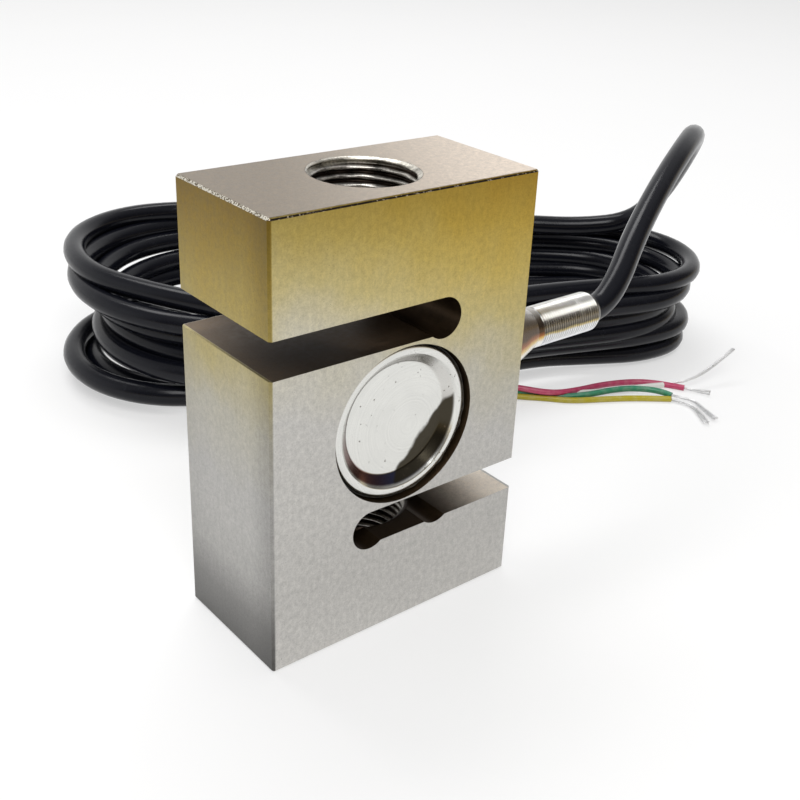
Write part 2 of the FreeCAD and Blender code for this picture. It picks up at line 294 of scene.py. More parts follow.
def new_finish(name, **values):
    """A material, its function that adds a node, its place on Object coordinates and a
    function that feeds its shader."""
    material = bpy.data.materials.new(name)
    material.use_nodes = True
    tree = material.node_tree
    shader = tree.nodes["Principled BSDF"]
    for socket, value in values.items():
        shader.inputs[socket.replace("_", " ")].default_value = value
    add = node_maker(tree)

    def feed(socket, value):
        tree.links.new(value, shader.inputs[socket])

    return material, add, add("TexCoord").outputs["Object"], feed


def clear(colour):
    return (*colour, 1.0)


def noise(add, place, scale, stretch=(1, 1, 1), detail=3.0):
    """Cloudy noise on place, stretched along the axes by stretch; its value is about a half."""
    moved = add("Mapping", {"Vector": place, "Scale": stretch})
    made = add("TexNoise", {"Vector": moved.outputs[0], "Scale": scale, "Detail": detail})
    return made.outputs[0]


def between(add, value, low, high, to_low=0.0, to_high=1.0, interpolation="SMOOTHSTEP"):
    """Value from low to high becomes to_low to to_high, and stays there outside."""
    return add("MapRange", {0: value, 1: low, 2: high, 3: to_low, 4: to_high},
               interpolation_type=interpolation).outputs[0]


def below(add, value, low, high):
    """1 under low, falling smoothly to 0 at high."""
    return between(add, value, low, high, 1.0, 0.0)


def evenly(add, value, low, high, to_low=0.0, to_high=1.0):
    """As between, but in a straight line."""
    return between(add, value, low, high, to_low, to_high, "LINEAR")


def varied(add, cloud, to_low, to_high):
    """The middle values of a noise, spread evenly from to_low to to_high."""
    return evenly(add, cloud, 0.3, 0.7, to_low, to_high)


def calc(add, operation, first, second=0.0):
    return add("Math", {0: first, 1: second}, operation=operation).outputs[0]


def total(add, first, *others):
    for other in others:
        first = calc(add, "ADD", first, other)
    return first


def product(add, first, *others):
    for other in others:
        first = calc(add, "MULTIPLY", first, other)
    return first


def distance(add, **parts):
    """The length of the vector with these parts, such as X and Z."""
    vector = add("CombineXYZ", parts).outputs[0]
    return add("VectorMath", {0: vector}, operation="LENGTH").outputs["Value"]


def mixed(add, factor, first, second, blend="MIX"):
    first, second = (clear(side) if isinstance(side, tuple) else side for side in (first, second))
    return add("Mix", {0: factor, 6: first, 7: second}, data_type="RGBA",
               blend_type=blend).outputs[2]


def scaled(add, colour, factor):
    return add("VectorMath", {0: colour, "Scale": factor}, operation="SCALE").outputs[0]


def raised(add, height, strength, depth):
    return add("Bump", {"Height": height, "Strength": strength, "Distance": depth}).outputs[0]


def ramp(add, value, *stops):
    """Colours, or greys, at places 0 to 1 along value, joined evenly."""
    made = add("ValToRGB", {0: value})
    while len(made.color_ramp.elements) < len(stops):
        made.color_ramp.elements.new(0.5)
    for element, (place, colour) in zip(made.color_ramp.elements, stops):
        element.position = place
        element.color = clear(colour if isinstance(colour, tuple) else (colour,) * 3)
    return made.outputs[0]


def plating_with_painted_light(add, x, y, z, cloud):
    """Painted light on the plating: a painted warm reflection times a painted lightness. The warm
    reflection climbs with height, and starts lower to the right and on the left flank; a cloud
    breaks up its bands. The lightness is painted by height: the front darkens towards the head,
    the left flank is darker, most at its foot and head, and darker towards its front and rear
    edges; the whole darkens to the right."""
    left = below(add, x, BLOCK_LOW.x + 0.3 * MM, BLOCK_LOW.x + 0.6 * MM)
    # Painted warm reflection: a golden colour that climbs with height, put into the plating's
    # colour.
    warm_reflection_rise = total(add, z, product(add, calc(add, "SUBTRACT", x, BLOCK_LOW.x), WARM_REFLECTION_LEAN),
                 product(add, left, WARM_REFLECTION_FLANK), varied(add, cloud, -2.5 * MM, 2.5 * MM))
    warm_reflection = ramp(add, evenly(add, warm_reflection_rise, *WARM_REFLECTION_HEIGHTS), (0.0, (1.0, 0.98, 0.94)),
               (0.25, (1.0, 0.955, 0.80)), (0.47, (1.0, 0.85, 0.40)), (0.65, (1.0, 0.765, 0.22)),
               (0.83, (1.0, 0.69, 0.12)), (1.0, (1.0, 0.62, 0.068)))
    level = evenly(add, z, 0.0, BLOCK_HIGH.z)
    # Painted light and shade: the lightness of the front and of the left flank by height, the
    # flank darker at its foot and head and towards its front and rear edges.
    front_painted_light = ramp(add, level, (0.0, 0.60), (0.18, 0.53), (0.36, 0.545), (0.55, 0.54),
                      (0.78, 0.565), (0.88, 0.50), (1.0, 0.355))
    flank_painted_shade = ramp(add, level, (0.0, 0.11), (0.10, 0.19), (0.20, 0.36), (0.30, 0.41),
                     (0.5, 0.42), (0.68, 0.40), (0.82, 0.34), (1.0, 0.18))
    flank_edge_shade = product(add, between(add, y, BLOCK_LOW.y, BLOCK_LOW.y + 7 * MM, 0.76, 1.04),
                           between(add, y, 4 * MM, BLOCK_HIGH.y, 1.0, 0.92))
    tone = mixed(add, left, front_painted_light, scaled(add, flank_painted_shade, flank_edge_shade))
    # Painted shade: the whole block darker towards the right.
    across = evenly(add, x, BLOCK_LOW.x, BLOCK_HIGH.x, 1.04, 0.91)
    return scaled(add, mixed(add, 1.0, tone, warm_reflection, "MULTIPLY"), across)


def slot_painted_shade(add, x, z):
    """Painted shade inside the slots, dark brown, with painted light paler at the upper slot's
    mouth and a pale pool of painted light on the lower slot's floor by its mouth.
    """
    # A pale pool of painted light on the lower slot's floor.
    floor = product(add, below(add, z, LOWER_SLOT_FLOOR + 0.02 * MM, LOWER_SLOT_FLOOR + 0.1 * MM),
                    between(add, z, LOWER_SLOT_FLOOR - 0.1 * MM, LOWER_SLOT_FLOOR - 0.02 * MM),
                    between(add, x, 8 * MM, 20 * MM))
    # Painted light by the upper slot's mouth.
    mouth = product(add, between(add, x, BLOCK_LOW.x + 9 * MM, BLOCK_LOW.x),
                    between(add, z, 48 * MM, 50 * MM))
    # Painted shade deep inside the slots.
    depth = mixed(add, mouth, (0.055, 0.034, 0.017), (0.16, 0.115, 0.075))
    return mixed(add, floor, depth, (0.80, 0.72, 0.62))


def inside_block(add, x, y, z):
    """1 on every surface that lies deeper than the block's outer faces and their edges."""
    deep, thin = EDGE + 0.02 * MM, 0.02 * MM
    masks = []
    for value, low, high, depth, fade in ((x, BLOCK_LOW.x, BLOCK_HIGH.x, deep, 0.08 * MM),
                                          (y, BLOCK_LOW.y, BLOCK_HIGH.y, thin, 0.04 * MM),
                                          (z, BLOCK_LOW.z, BLOCK_HIGH.z, deep, 0.08 * MM)):
        masks += [between(add, value, low + depth, low + depth + fade),
                  below(add, value, high - depth - fade, high - depth)]
    return product(add, *masks)


def plated_steel():
    """Plated steel with a painted warm reflection and painted light and shade on its faces, fine
    mottling, specks and faint upright scratches. The head carries a painted reflection, dark at
    the left and rear and bright at the right and front. The slots are painted dark inside with
    painted shade, paler with painted light by their mouths, and the head's edges worn: dark in
    front, bright on the left."""
    material, add, place, feed = new_finish("plated_steel", Metallic=0.85)
    x, y, z = add("SeparateXYZ", {0: place}).outputs
    cloud = noise(add, place, 110, (1, 1, 0.7), 3)
    mottle = noise(add, place, 1100, (1, 1, 0.8), 6)
    fine = noise(add, place, 3600, (1, 1, 1), 4)
    scratches = noise(add, place, 2300, (1, 1, 0.05), 2)

    head = between(add, z, BLOCK_HIGH.z - 0.08 * MM, BLOCK_HIGH.z - 0.03 * MM)
    # Painted reflection on the head: dark at the left and rear, bright at the right and front.
    along = total(add, x, product(add, y, -0.6))
    head_painted_reflection = mixed(add, between(add, along, -20 * MM, 36 * MM), (0.25, 0.21, 0.165),
                (0.75, 0.65, 0.55))
    body = mixed(add, head, plating_with_painted_light(add, x, y, z, cloud), head_painted_reflection)
    # The slots' surfaces take painted shade and painted light in place of the plating.
    body = mixed(add, inside_block(add, x, y, z), body, slot_painted_shade(add, x, z))

    high = between(add, z, BLOCK_HIGH.z - EDGE - 0.02 * MM, BLOCK_HIGH.z - EDGE + 0.02 * MM)
    front_edge = product(add, high,
                         below(add, z, BLOCK_HIGH.z - 0.5 * EDGE, BLOCK_HIGH.z - 0.35 * EDGE),
                         below(add, y, BLOCK_LOW.y + 0.9 * EDGE, BLOCK_LOW.y + EDGE))
    left_edge = product(add, high, below(add, x, BLOCK_LOW.x + 0.9 * EDGE, BLOCK_LOW.x + EDGE),
                        calc(add, "SUBTRACT", 1.0, front_edge))
    burred = mixed(add, between(add, fine, 0.60, 0.64), (0.022, 0.014, 0.010), (0.6, 0.5, 0.36))
    rubbed = mixed(add, between(add, fine, 0.46, 0.56), (0.80, 0.76, 0.66), (0.14, 0.11, 0.07))
    body = mixed(add, left_edge, mixed(add, front_edge, body, burred), rubbed)

    shade = product(add, varied(add, mottle, 0.86, 1.11), varied(add, fine, 0.88, 1.10),
                    evenly(add, scratches, 0.35, 0.65, 0.975, 1.015),
                    between(add, fine, 0.66, 0.71, 1.0, 0.6))
    feed("Base Color", scaled(add, body, shade))
    feed("Roughness", varied(add, mottle, 0.36, 0.50))
    feed("Normal", raised(add, total(add, fine, mottle), 0.10, 0.04 * MM))
    return material


def thread_steel():
    """Cut thread: pale crests and flanks and roots darkened with painted shade, by the distance
    from the hole's axis. The upper hole's first turn is pale all through, a painted highlight."""
    material, add, place, feed = new_finish("thread_steel", Metallic=0.85)
    x, y, z = add("SeparateXYZ", {0: place}).outputs
    cloud = noise(add, place, 500, detail=4)
    fine = noise(add, place, 2600, detail=3)
    # Painted shade in the thread's roots.
    root = between(add, distance(add, X=x, Y=y), 8.3 * MM, 8.7 * MM)
    # Painted highlight on the upper hole's first turn.
    first = between(add, z, BLOCK_HIGH.z - 1.25 * MM, BLOCK_HIGH.z - 1.05 * MM)
    colour = mixed(add, root, (0.66, 0.63, 0.58), (0.045, 0.03, 0.022))
    colour = mixed(add, first, colour, (0.60, 0.57, 0.50))
    shade = product(add, varied(add, cloud, 0.45, 1.25), evenly(add, fine, 0.35, 0.65, 0.7, 1.2))
    feed("Base Color", scaled(add, colour, shade))
    feed("Roughness", varied(add, cloud, 0.25, 0.42))
    return material


def pressed_sheet():
    """Bright pressed sheet, turned on rings off its middle. Its cone carries a painted reflection,
    red to blue to brown below and darker at the left above, and a dark painted reflection reaches
    from there into the flat at the lower right."""
    material, add, place, feed = new_finish("pressed_sheet", Metallic=0.95)
    moved = add("Mapping", {"Vector": place, "Location": (0, 0, -BORE_Z)}).outputs[0]
    x, _, z = add("SeparateXYZ", {0: moved}).outputs
    cloud = noise(add, place, 260, detail=4)
    fine = noise(add, place, 1500, detail=3)
    off = distance(add, X=calc(add, "SUBTRACT", x, 3 * MM), Z=total(add, z, 2 * MM))
    marks = add("TexNoise", {"W": product(add, off, 3200), "Scale": 1.0, "Detail": 3.0},
                noise_dimensions="1D").outputs[0]
    tone = product(add, evenly(add, marks, 0.35, 0.65, 0.955, 1.01),
                   varied(add, cloud, 0.95, 1.02))
    bright = scaled(add, (0.74, 0.74, 0.71), tone)

    radius = distance(add, X=x, Z=z)
    dish = below(add, radius, 11.2 * MM, 11.6 * MM)
    cone = product(add, between(add, radius, 9.7 * MM, 10.1 * MM), dish)
    # Painted reflection on the cone: red to blue to brown below, darker at the left above.
    cone_painted_reflection = mixed(add, between(add, x, -8 * MM, 0), (0.16, 0.07, 0.06), (0.05, 0.055, 0.11))
    cone_painted_reflection = mixed(add, between(add, x, 2 * MM, 10 * MM), cone_painted_reflection, (0.11, 0.09, 0.07))
    above = mixed(add, between(add, x, 1 * MM, 6 * MM), (0.34, 0.33, 0.31), (0.70, 0.69, 0.66))
    colour = mixed(add, cone, bright, mixed(add, between(add, z, 4 * MM, -4 * MM), above, cone_painted_reflection))
    # A dark painted reflection reaching from the cone into the flat at the lower right.
    corner = total(add, product(add, x, 0.75), product(add, z, -0.66),
                   varied(add, cloud, -0.4 * MM, 0.4 * MM))
    dark_painted_reflection = product(add, between(add, corner, 6.6 * MM, 7.3 * MM), dish)
    colour = mixed(add, dark_painted_reflection, colour, (0.050, 0.043, 0.030))
    feed("Base Color", mixed(add, between(add, fine, 0.69, 0.73), colour, (0.10, 0.08, 0.06)))
    feed("Roughness", varied(add, cloud, 0.14, 0.26))
    feed("Normal", raised(add, marks, 0.05, 0.02 * MM))
    return material


def turned_nickel():
    """Bright turned nickel with a painted reflection in bands along the gland: white below, a
    golden line, then dark to pale going up on the barrel, brown on the cone. The thread's roots
    are darkened with painted shade."""
    material, add, place, feed = new_finish("turned_nickel", Metallic=0.9)
    moved = add("Mapping", {"Vector": place, "Location": (0, 0, -GLAND_Z)}).outputs[0]
    x, y, z = add("SeparateXYZ", {0: moved}).outputs
    radius = distance(add, Y=y, Z=z)
    rings = noise(add, place, 1800, (1, 0.02, 0.02), 2)
    cloud = noise(add, place, 300, detail=3)
    lift = total(add, evenly(add, calc(add, "DIVIDE", z, radius), -1.0, 1.0),
                 varied(add, cloud, -0.02, 0.02))
    # Painted reflection in bands round the barrel and the cone, by the angle round the gland.
    barrel = ramp(add, lift, (0.0, (0.80, 0.81, 0.84)), (0.40, 0.82), (0.45, (0.64, 0.52, 0.25)),
                  (0.51, (0.16, 0.14, 0.11)), (0.70, (0.36, 0.33, 0.28)),
                  (0.88, (0.68, 0.67, 0.63)), (1.0, (0.84, 0.83, 0.81)))
    cone = ramp(add, lift, (0.0, (0.75, 0.75, 0.76)), (0.32, (0.80, 0.78, 0.72)),
                (0.42, (0.62, 0.43, 0.14)), (0.50, (0.30, 0.11, 0.04)), (0.60, (0.08, 0.05, 0.03)),
                (0.85, (0.14, 0.11, 0.08)), (1.0, (0.5, 0.48, 0.45)))
    on_barrel = between(add, x, NOSE_X - 0.1 * MM, NOSE_X + 0.1 * MM)
    # Painted shade in the barrel thread's roots.
    root = between(add, radius, SLEEVE_RADIUS - 0.18 * MM, SLEEVE_RADIUS - 0.06 * MM, 0.45, 1.08)
    feed("Base Color", scaled(add, mixed(add, on_barrel, cone, barrel),
                              product(add, root, varied(add, rings, 0.9, 1.05))))
    feed("Roughness", varied(add, rings, 0.16, 0.28))
    feed("Normal", raised(add, rings, 0.08, 0.02 * MM))
    return material


def sealant():
    """Dark sealant, smeared and pitted."""
    material, add, place, feed = new_finish("sealant")
    cloud = noise(add, place, 900, detail=4)
    feed("Base Color", mixed(add, between(add, cloud, 0.4, 0.7), (0.012, 0.010, 0.008),
                             (0.07, 0.06, 0.045)))
    feed("Roughness", varied(add, cloud, 0.35, 0.7))
    feed("Normal", raised(add, cloud, 0.5, 0.15 * MM))
    return material


def sheath_pvc(colour):
    """Glossy soft sheath, with faint scuffs."""
    material, add, place, feed = new_finish("sheath_pvc", Specular_IOR_Level=0.22)
    cloud = noise(add, place, 120, detail=4)
    scuff = between(add, noise(add, place, 700, detail=4), 0.58, 0.75)
    feed("Base Color", mixed(add, product(add, scuff, 0.15), tuple(colour), (0.03, 0.031, 0.036)))
    feed("Roughness", varied(add, cloud, 0.15, 0.27))
    feed("Normal", raised(add, cloud, 0.10, 0.2 * MM))
    return material


def core_plastic(name, colour):
    """Glossy insulation of one core."""
    material, add, place, feed = new_finish("insulation_" + name)
    cloud = noise(add, place, 600, detail=3)
    feed("Base Color", mixed(add, between(add, cloud, 0.35, 0.7, 0.0, 0.10), tuple(colour),
                             (0.7, 0.66, 0.6)))
    feed("Roughness", varied(add, cloud, 0.28, 0.45))
    return material


def plain_film(name, light, dark, rough, scale=1200, **values):
    """A thin board or film in two close tones, or bare wire when Metallic is given."""
    material, add, place, feed = new_finish(name, **values)
    cloud = noise(add, place, scale, detail=3)
    feed("Base Color", mixed(add, cloud, light, dark))
    feed("Roughness", varied(add, cloud, *rough))
    return material


# Pieces

def once_round(count):
    """Count angles, evenly spaced over a full turn."""
    return np.linspace(0, 2 * np.pi, count, endpoint=False)


def threaded_wall(root, crest, pitch, low, high, rows, columns, lead_in):
    """A helical wall on a grid of height and angle: its radius swings between root and crest
    as a V of the height less the angle's share of the pitch, with a flat root and crest. It
    fades into the root over lead_in at both ends."""
    steepness, flat_root = 1.35, 0.15
    height = np.linspace(low, high, rows)[:, None]
    angle = once_round(columns)[None, :]
    phase = (height / pitch - angle / (2 * np.pi)) % 1.0
    wave = np.clip(steepness * (1 - np.abs(2 * phase - 1)) - flat_root, 0, 1)
    fade = np.clip(np.minimum(height - low, high - height) / lead_in, 0, 1)
    radius = root + (crest - root) * wave * fade
    return height + 0 * angle, angle + 0 * height, radius


def tapped_lining(name, low, high, hole_radius, rows, sizes, material):
    """The thread inside a tapped hole: the helical wall, torn by a sum of random waves where it
    stands out of its root, and a plain wall let into the metal behind it."""
    columns, lead_in, tear, smooth_depth = 144, 0.35 * MM, 0.03 * MM, 0.3 * MM
    root, behind = hole_radius - 0.01 * MM, hole_radius + 0.05 * MM
    height, angle, radius = threaded_wall(root, hole_radius - sizes.mount_depth,
                                          sizes.mount_pitch, low, high, rows, columns, lead_in)
    rng = np.random.default_rng(5)
    rough = sum(rng.normal(0, tear) * np.sin(n * angle + rng.uniform(3, 9) * height / MM)
                for n in range(3, 15))
    radius = np.minimum(radius + rough * (radius < hole_radius - smooth_depth), root)
    radius = np.vstack([radius, np.full((2, columns), behind)])
    height, angle = (np.vstack([grid, grid[[-1, 0]]]) for grid in (height, angle))
    points = np.stack([radius * np.cos(angle), radius * np.sin(angle), height], -1)
    add_piece(name, closed_mesh(name, points, closed_rows=True), material)


class BuildThreads(bpy.types.Operator):
    """Lines both tapped holes with their thread"""
    bl_idname = "load_cell.threads"
    bl_label = "Tapped threads"

    def execute(self, context):
        material = thread_steel()
        mounts = {m["name"]: m for m in frame["record"]["mounts"]}
        for name, inward, rows in (("upper_thread", -1, 150), ("lower_thread", 1, 110)):
            mouth, hole = mounts[name]["pos_m"][2], mounts[name]["dims"]
            inner = mouth + inward * hole["length_mm"] * MM
            tapped_lining(name + "_lining", min(mouth, inner), max(mouth, inner),
                          hole["r_mm"] * MM, rows, context.scene.load_cell_threads, material)
        return {"FINISHED"}


def barrel_surface(sizes):
    """The gland's barrel: the helical wall outside, held under a cone at its mouth, and then
    the plain section of its spigot, wire hole and plug seat, turned round its axis."""
    rows, columns, clearance, lead_in = 256, 72, 0.1 * MM, 0.3 * MM
    chamfer, plug_length = 1.3 * MM, 4.0 * MM
    seat, wire_hole, spigot = 3.08 * MM, 2.6 * MM, 3.3 * MM
    root = SLEEVE_RADIUS - sizes.gland_depth
    x, angle, radius = threaded_wall(root, SLEEVE_RADIUS, sizes.gland_pitch, NOSE_X + clearance,
                                     MOUTH_X - clearance, rows, columns, lead_in)
    radius = np.minimum(radius, SLEEVE_RADIUS - np.clip(x - (MOUTH_X - chamfer), 0, None) / 2)
    section = np.array([(MOUTH_X, SLEEVE_RADIUS - chamfer / 2), (MOUTH_X, seat),
                        (MOUTH_X - plug_length, seat), (MOUTH_X - plug_length, wire_hole),
                        (SLEEVE_LOW.x, wire_hole), (SLEEVE_LOW.x, spigot), (NOSE_X, root)])
    x = np.vstack([x, np.repeat(section[:, :1], columns, 1)])
    radius = np.vstack([radius, np.repeat(section[:, 1:], columns, 1)])
    angle = np.repeat(angle[:1], len(x), 0)
    return np.stack([x, radius * np.cos(angle), GLAND_Z + radius * np.sin(angle)], -1)


class BuildSleeve(bpy.types.Operator):
    """Cuts the fine thread on the gland's barrel"""
    bl_idname = "load_cell.sleeve"
    bl_label = "Gland barrel"

    def execute(self, context):
        name = "gland_threaded_sleeve"
        points = barrel_surface(context.scene.load_cell_threads)
        add_piece(name, closed_mesh(name, points, closed_rows=True),
                  bpy.data.materials["turned_nickel"], ["gland_sleeve"])
        return {"FINISHED"}


def round_bore(radius, y, angle):
    """Points at angle and radius round the axis of the gauge pockets."""
    radius, y, angle = np.broadcast_arrays(radius, y, angle)
    return np.stack([radius * np.cos(angle), y, BORE_Z + radius * np.sin(angle)], -1)


def add_both_sides(kind, points, finish, stands_for, closed_rows):
    """The piece on the front, and the same piece turned half round for the rear."""
    for name, side in (("front", 1), ("rear", -1)):
        piece = f"{name}_{kind}"
        add_piece(piece, closed_mesh(piece, points * (side, side, 1), closed_rows),
                  bpy.data.materials[finish], [f"{name}_{stands_for}"])


def cover_profile(sizes):
    """Half of the cover's section, from its middle outwards and back inside, as (radius, depth
    below the rim), with close points where the real bend is tight."""
    outer, skirt = (COVER_HIGH.x - COVER_LOW.x) / 2, COVER_HIGH.y - COVER_LOW.y
    flat, dish, sheet = sizes.flat_radius, sizes.dish, sizes.sheet
    inner, lining, roll = outer - sizes.rim, outer - sheet, 0.28 * MM
    slope = (dish - roll) / (inner - flat)

    def cone(radius, under=0.0):
        return radius, dish - slope * (radius - flat) + under

    thickness = sheet * math.hypot(1, slope)
    return np.array([
        (0.3 * MM, dish), (0.5 * flat, dish), (flat - 0.5 * MM, dish), (flat, dish),
        cone(flat + 0.5 * MM), cone(inner - 0.4 * MM), (inner, roll), (inner + 0.3 * MM, 0),
        (outer - 0.35 * MM, 0), (outer, roll), (outer, 1.0 * MM), (outer, skirt - 0.2 * MM),
        (outer, skirt), (lining, skirt), (lining, skirt - 0.2 * MM),
        cone(lining, thickness + 0.3 * MM), cone(lining, thickness),
        (flat + 0.5 * MM, dish + sheet), (0.5 * flat, dish + sheet), (0.3 * MM, dish + sheet)])


def cover_surface(sizes):
    """The cover's section, turned round the pockets' axis. Its flat is dented by three waves
    round the axis, and ringed by a wave of the radius; both fade out towards the cone."""
    profile = softened(cover_profile(sizes), 3)
    radius, depth = profile[:, :1], profile[:, 1:]
    angle = once_round(144)[None, :]
    dents, dent_reach = 0.03 * MM * np.sin(3 * angle + 0.7), 12 * MM
    rings, ring_reach = 0.02 * MM * np.sin(radius / (0.9 * MM)), 9 * MM
    depth = (depth + dents * np.clip(1 - radius / dent_reach, 0, 1)
             + rings * np.clip(1 - radius / ring_reach, 0, 1))
    return round_bore(radius, COVER_LOW.y + depth, angle)


class BuildCovers(bpy.types.Operator):
    """Presses both dished covers"""
    bl_idname = "load_cell.covers"
    bl_label = "Pressed covers"

    def execute(self, context):
        points = cover_surface(context.scene.load_cell_covers)
        add_both_sides("pressed_cover", points, "pressed_sheet", "cover",
                       closed_rows=False)
        return {"FINISHED"}


def sealant_surface():
    """A ring of oval section between the cover and the pocket's wall. It is moved outwards by a
    sum of random waves round the axis, further and more unevenly at the lower right, and cut
    off level in front, behind the cover's rim, and at its foot."""
    outer, inner = (SEAL_HIGH.x - SEAL_LOW.x) / 2, (COVER_HIGH.x - COVER_LOW.x) / 2
    angle, around = once_round(320)[None, :], once_round(20)[:, None]
    rng = np.random.default_rng(11)
    waves = sum(rng.normal(0, 1 / n ** 0.6) * np.sin(n * angle + rng.uniform(0, 6.28))
                for n in range(2, 40))
    low_right = np.clip(np.cos(angle + 0.55), 0, 1)
    crown = SEAL_LOW.y - (0.25 * low_right + 0.10 * waves * (0.4 + low_right)) * MM
    radius = (outer + inner) / 2 + (outer - inner) / 2 * np.cos(around)
    y = crown + (SEAL_HIGH.y - SEAL_LOW.y) * 0.5 * (1 - np.sin(around))
    return round_bore(radius, np.clip(y, COVER_LOW.y + 0.1 * MM, SEAL_HIGH.y), angle)


class BuildSealant(bpy.types.Operator):
    """Runs the uneven bead of sealant round both covers"""
    bl_idname = "load_cell.sealant"
    bl_label = "Sealant"

    def execute(self, context):
        add_both_sides("sealant", sealant_surface(), "sealant", "seal",
                       closed_rows=True)
        return {"FINISHED"}


def belt(share, left, right, left_radius, right_radius):
    """Points of a belt round two pulleys, share 0 to 1 of the way round from its right end:
    an arc of the right pulley, a straight side, the left pulley's arc and the other side."""
    span = left + right
    slope = np.arcsin((left_radius - right_radius) / span)
    side = np.sqrt(span ** 2 - (left_radius - right_radius) ** 2)
    turn_right, turn_left = np.pi / 2 - slope, np.pi / 2 + slope
    lengths = [right_radius * turn_right, side, 2 * left_radius * turn_left, side]
    whole = sum(lengths) + lengths[0]
    at = share * whole
    starts = np.cumsum([0 * span] + lengths, axis=0)
    first = at / right_radius
    third = turn_right + (at - starts[2]) / left_radius
    last = -turn_right + (at - starts[4]) / right_radius
    start_x, start_y = right + right_radius * np.sin(slope), right_radius * np.cos(slope)
    end_x, end_y = -left + left_radius * np.sin(slope), left_radius * np.cos(slope)
    out, back = (at - starts[1]) / side, (at - starts[3]) / side
    cases = [at < starts[1], at < starts[2], at < starts[3], at < starts[4]]
    u = np.select(cases, [right + right_radius * np.cos(first), start_x + (end_x - start_x) * out,
                          -left + left_radius * np.cos(third), end_x + (start_x - end_x) * back],
                  right + right_radius * np.cos(last))
    v = np.select(cases, [right_radius * np.sin(first), start_y + (end_y - start_y) * out,
                          left_radius * np.sin(third), -end_y + (end_y - start_y) * back],
                  right_radius * np.sin(last))
    return u, v


def eased(values, at):
    """Values at whole numbers, joined by S-shaped steps, read at each of at."""
    values = np.array(values, float)
    at = np.clip(at, 0, len(values) - 1.001)
    whole = at.astype(int)
    part = at - whole
    part = part * part * (3 - 2 * part)
    if values.ndim == 2:
        part = part[:, None]
    return values[whole] + (values[whole + 1] - values[whole]) * part


def coil_route(turns, diameter):
    """The coil's own points: a belt whose ends, radii and near side change smoothly from turn
    to turn, going down until it lies on the surface below. Its pile is lower the further
    right it lies."""
    per_turn, half_length, lean, turned = 24, 80, 0.11, math.radians(-27)
    bow_start, bow_gap, bow_fade = -60, 30, 15
    at = TURNS_DONE[0] + np.linspace(0, turns, int(turns * per_turn))
    left_radius, right_radius = eased(LEFT_RADIUS, at - 0.5), eased(RIGHT_RADIUS, at)
    u, v = belt(at % 1, eased(LEFT_END, at - 0.5) - left_radius,
                eased(RIGHT_END, at) - right_radius, left_radius, right_radius)
    leftness = np.clip(0.5 - u / (1.5 * half_length), 0, 1)
    v = v + eased(LEFT_SHIFT, at - 0.5) * leftness + eased(RIGHT_SHIFT, at) * (1 - leftness)

    bow = eased(NEAR_BOW, at - 0.75)
    place = np.clip((u - bow_start) / bow_gap, 0, 3.999)
    column, row = place.astype(int), np.arange(len(u))
    bow = bow[row, column] + (bow[row, column + 1] - bow[row, column]) * (place - column)
    v = v - bow * np.clip(-v / bow_fade, 0, 1)

    height = np.interp(at, TURNS_DONE, TURNS_HEIGHT) * (1 - lean * u / half_length)
    x = COIL_CENTRE[0] / MM + u * math.cos(turned) - v * math.sin(turned)
    y = COIL_CENTRE[1] / MM + u * math.sin(turned) + v * math.cos(turned)
    return np.stack([x * MM, y * MM, height * MM + diameter / 2], -1)


def wire_tubes(line, count, wire, seed):
    """Count thin wires, as rings of points round every step of each. They start in one twisted
    bundle and follow line, moved across it by a random drift that grows with the distance
    along it, and by a smaller wave."""
    bundle, spread, sides, twists = 0.28 * MM, 0.3 * MM, 6, 2.5
    rng = np.random.default_rng(seed)
    step = np.gradient(line, axis=0)
    step /= np.linalg.norm(step, axis=1, keepdims=True)
    across = np.cross(step, (0, 0, 1.0))
    across /= np.linalg.norm(across, axis=1, keepdims=True)
    up = np.cross(across, step)
    share = np.linspace(0, 1, len(line))[None, :, None]
    angle = rng.uniform(0, 2 * np.pi, (count, 1, 1))
    ring = bundle * np.sqrt(rng.uniform(0.05, 1, (count, 1, 1)))
    drift = rng.normal(0, spread, (count, 1, 2)) * share ** 1.6
    drift = drift + rng.normal(0, spread / 3, (count, 1, 2)) * np.sin(5 * share + angle)
    twist = angle + twists * share
    side = ring * np.cos(twist) + drift[..., :1] * (share > 0)
    lift = ring * np.sin(twist) + np.abs(drift[..., 1:]) * share
    centre = line[None] + side * across[None] + lift * up[None]
    centre[..., 2] = np.maximum(centre[..., 2], wire / 2)
    turn = once_round(sides)[:, None]
    return centre[:, :, None] + wire / 2 * (np.cos(turn) * across[None, :, None]
                                            + np.sin(turn) * up[None, :, None])


def frayed_mesh(name, tubes):
    """One mesh of several closed tubes, given as rings[tube, step, side]."""
    whole = bpy.data.meshes.new(name)
    vertices, faces, start = [], [], 0
    for rings in tubes:
        part = closed_mesh("wire", rings)
        vertices.append(vertices_of(part))
        faces += [[start + v for v in p.vertices] for p in part.polygons]
        start += len(part.vertices)
        bpy.data.meshes.remove(part)
    whole.from_pydata(np.vstack(vertices).tolist(), [], faces)
    whole.shade_smooth()
    return whole


def sampled(curve):
    """The points of a curve's own smooth line, in order."""
    bare = curve.copy()
    bare.bevel_depth = 0
    holder = bpy.data.objects.new("line", bare)
    mesh = bpy.data.meshes.new_from_object(holder)
    points = vertices_of(mesh)
    bpy.data.objects.remove(holder)
    bpy.data.meshes.remove(mesh)
    return points


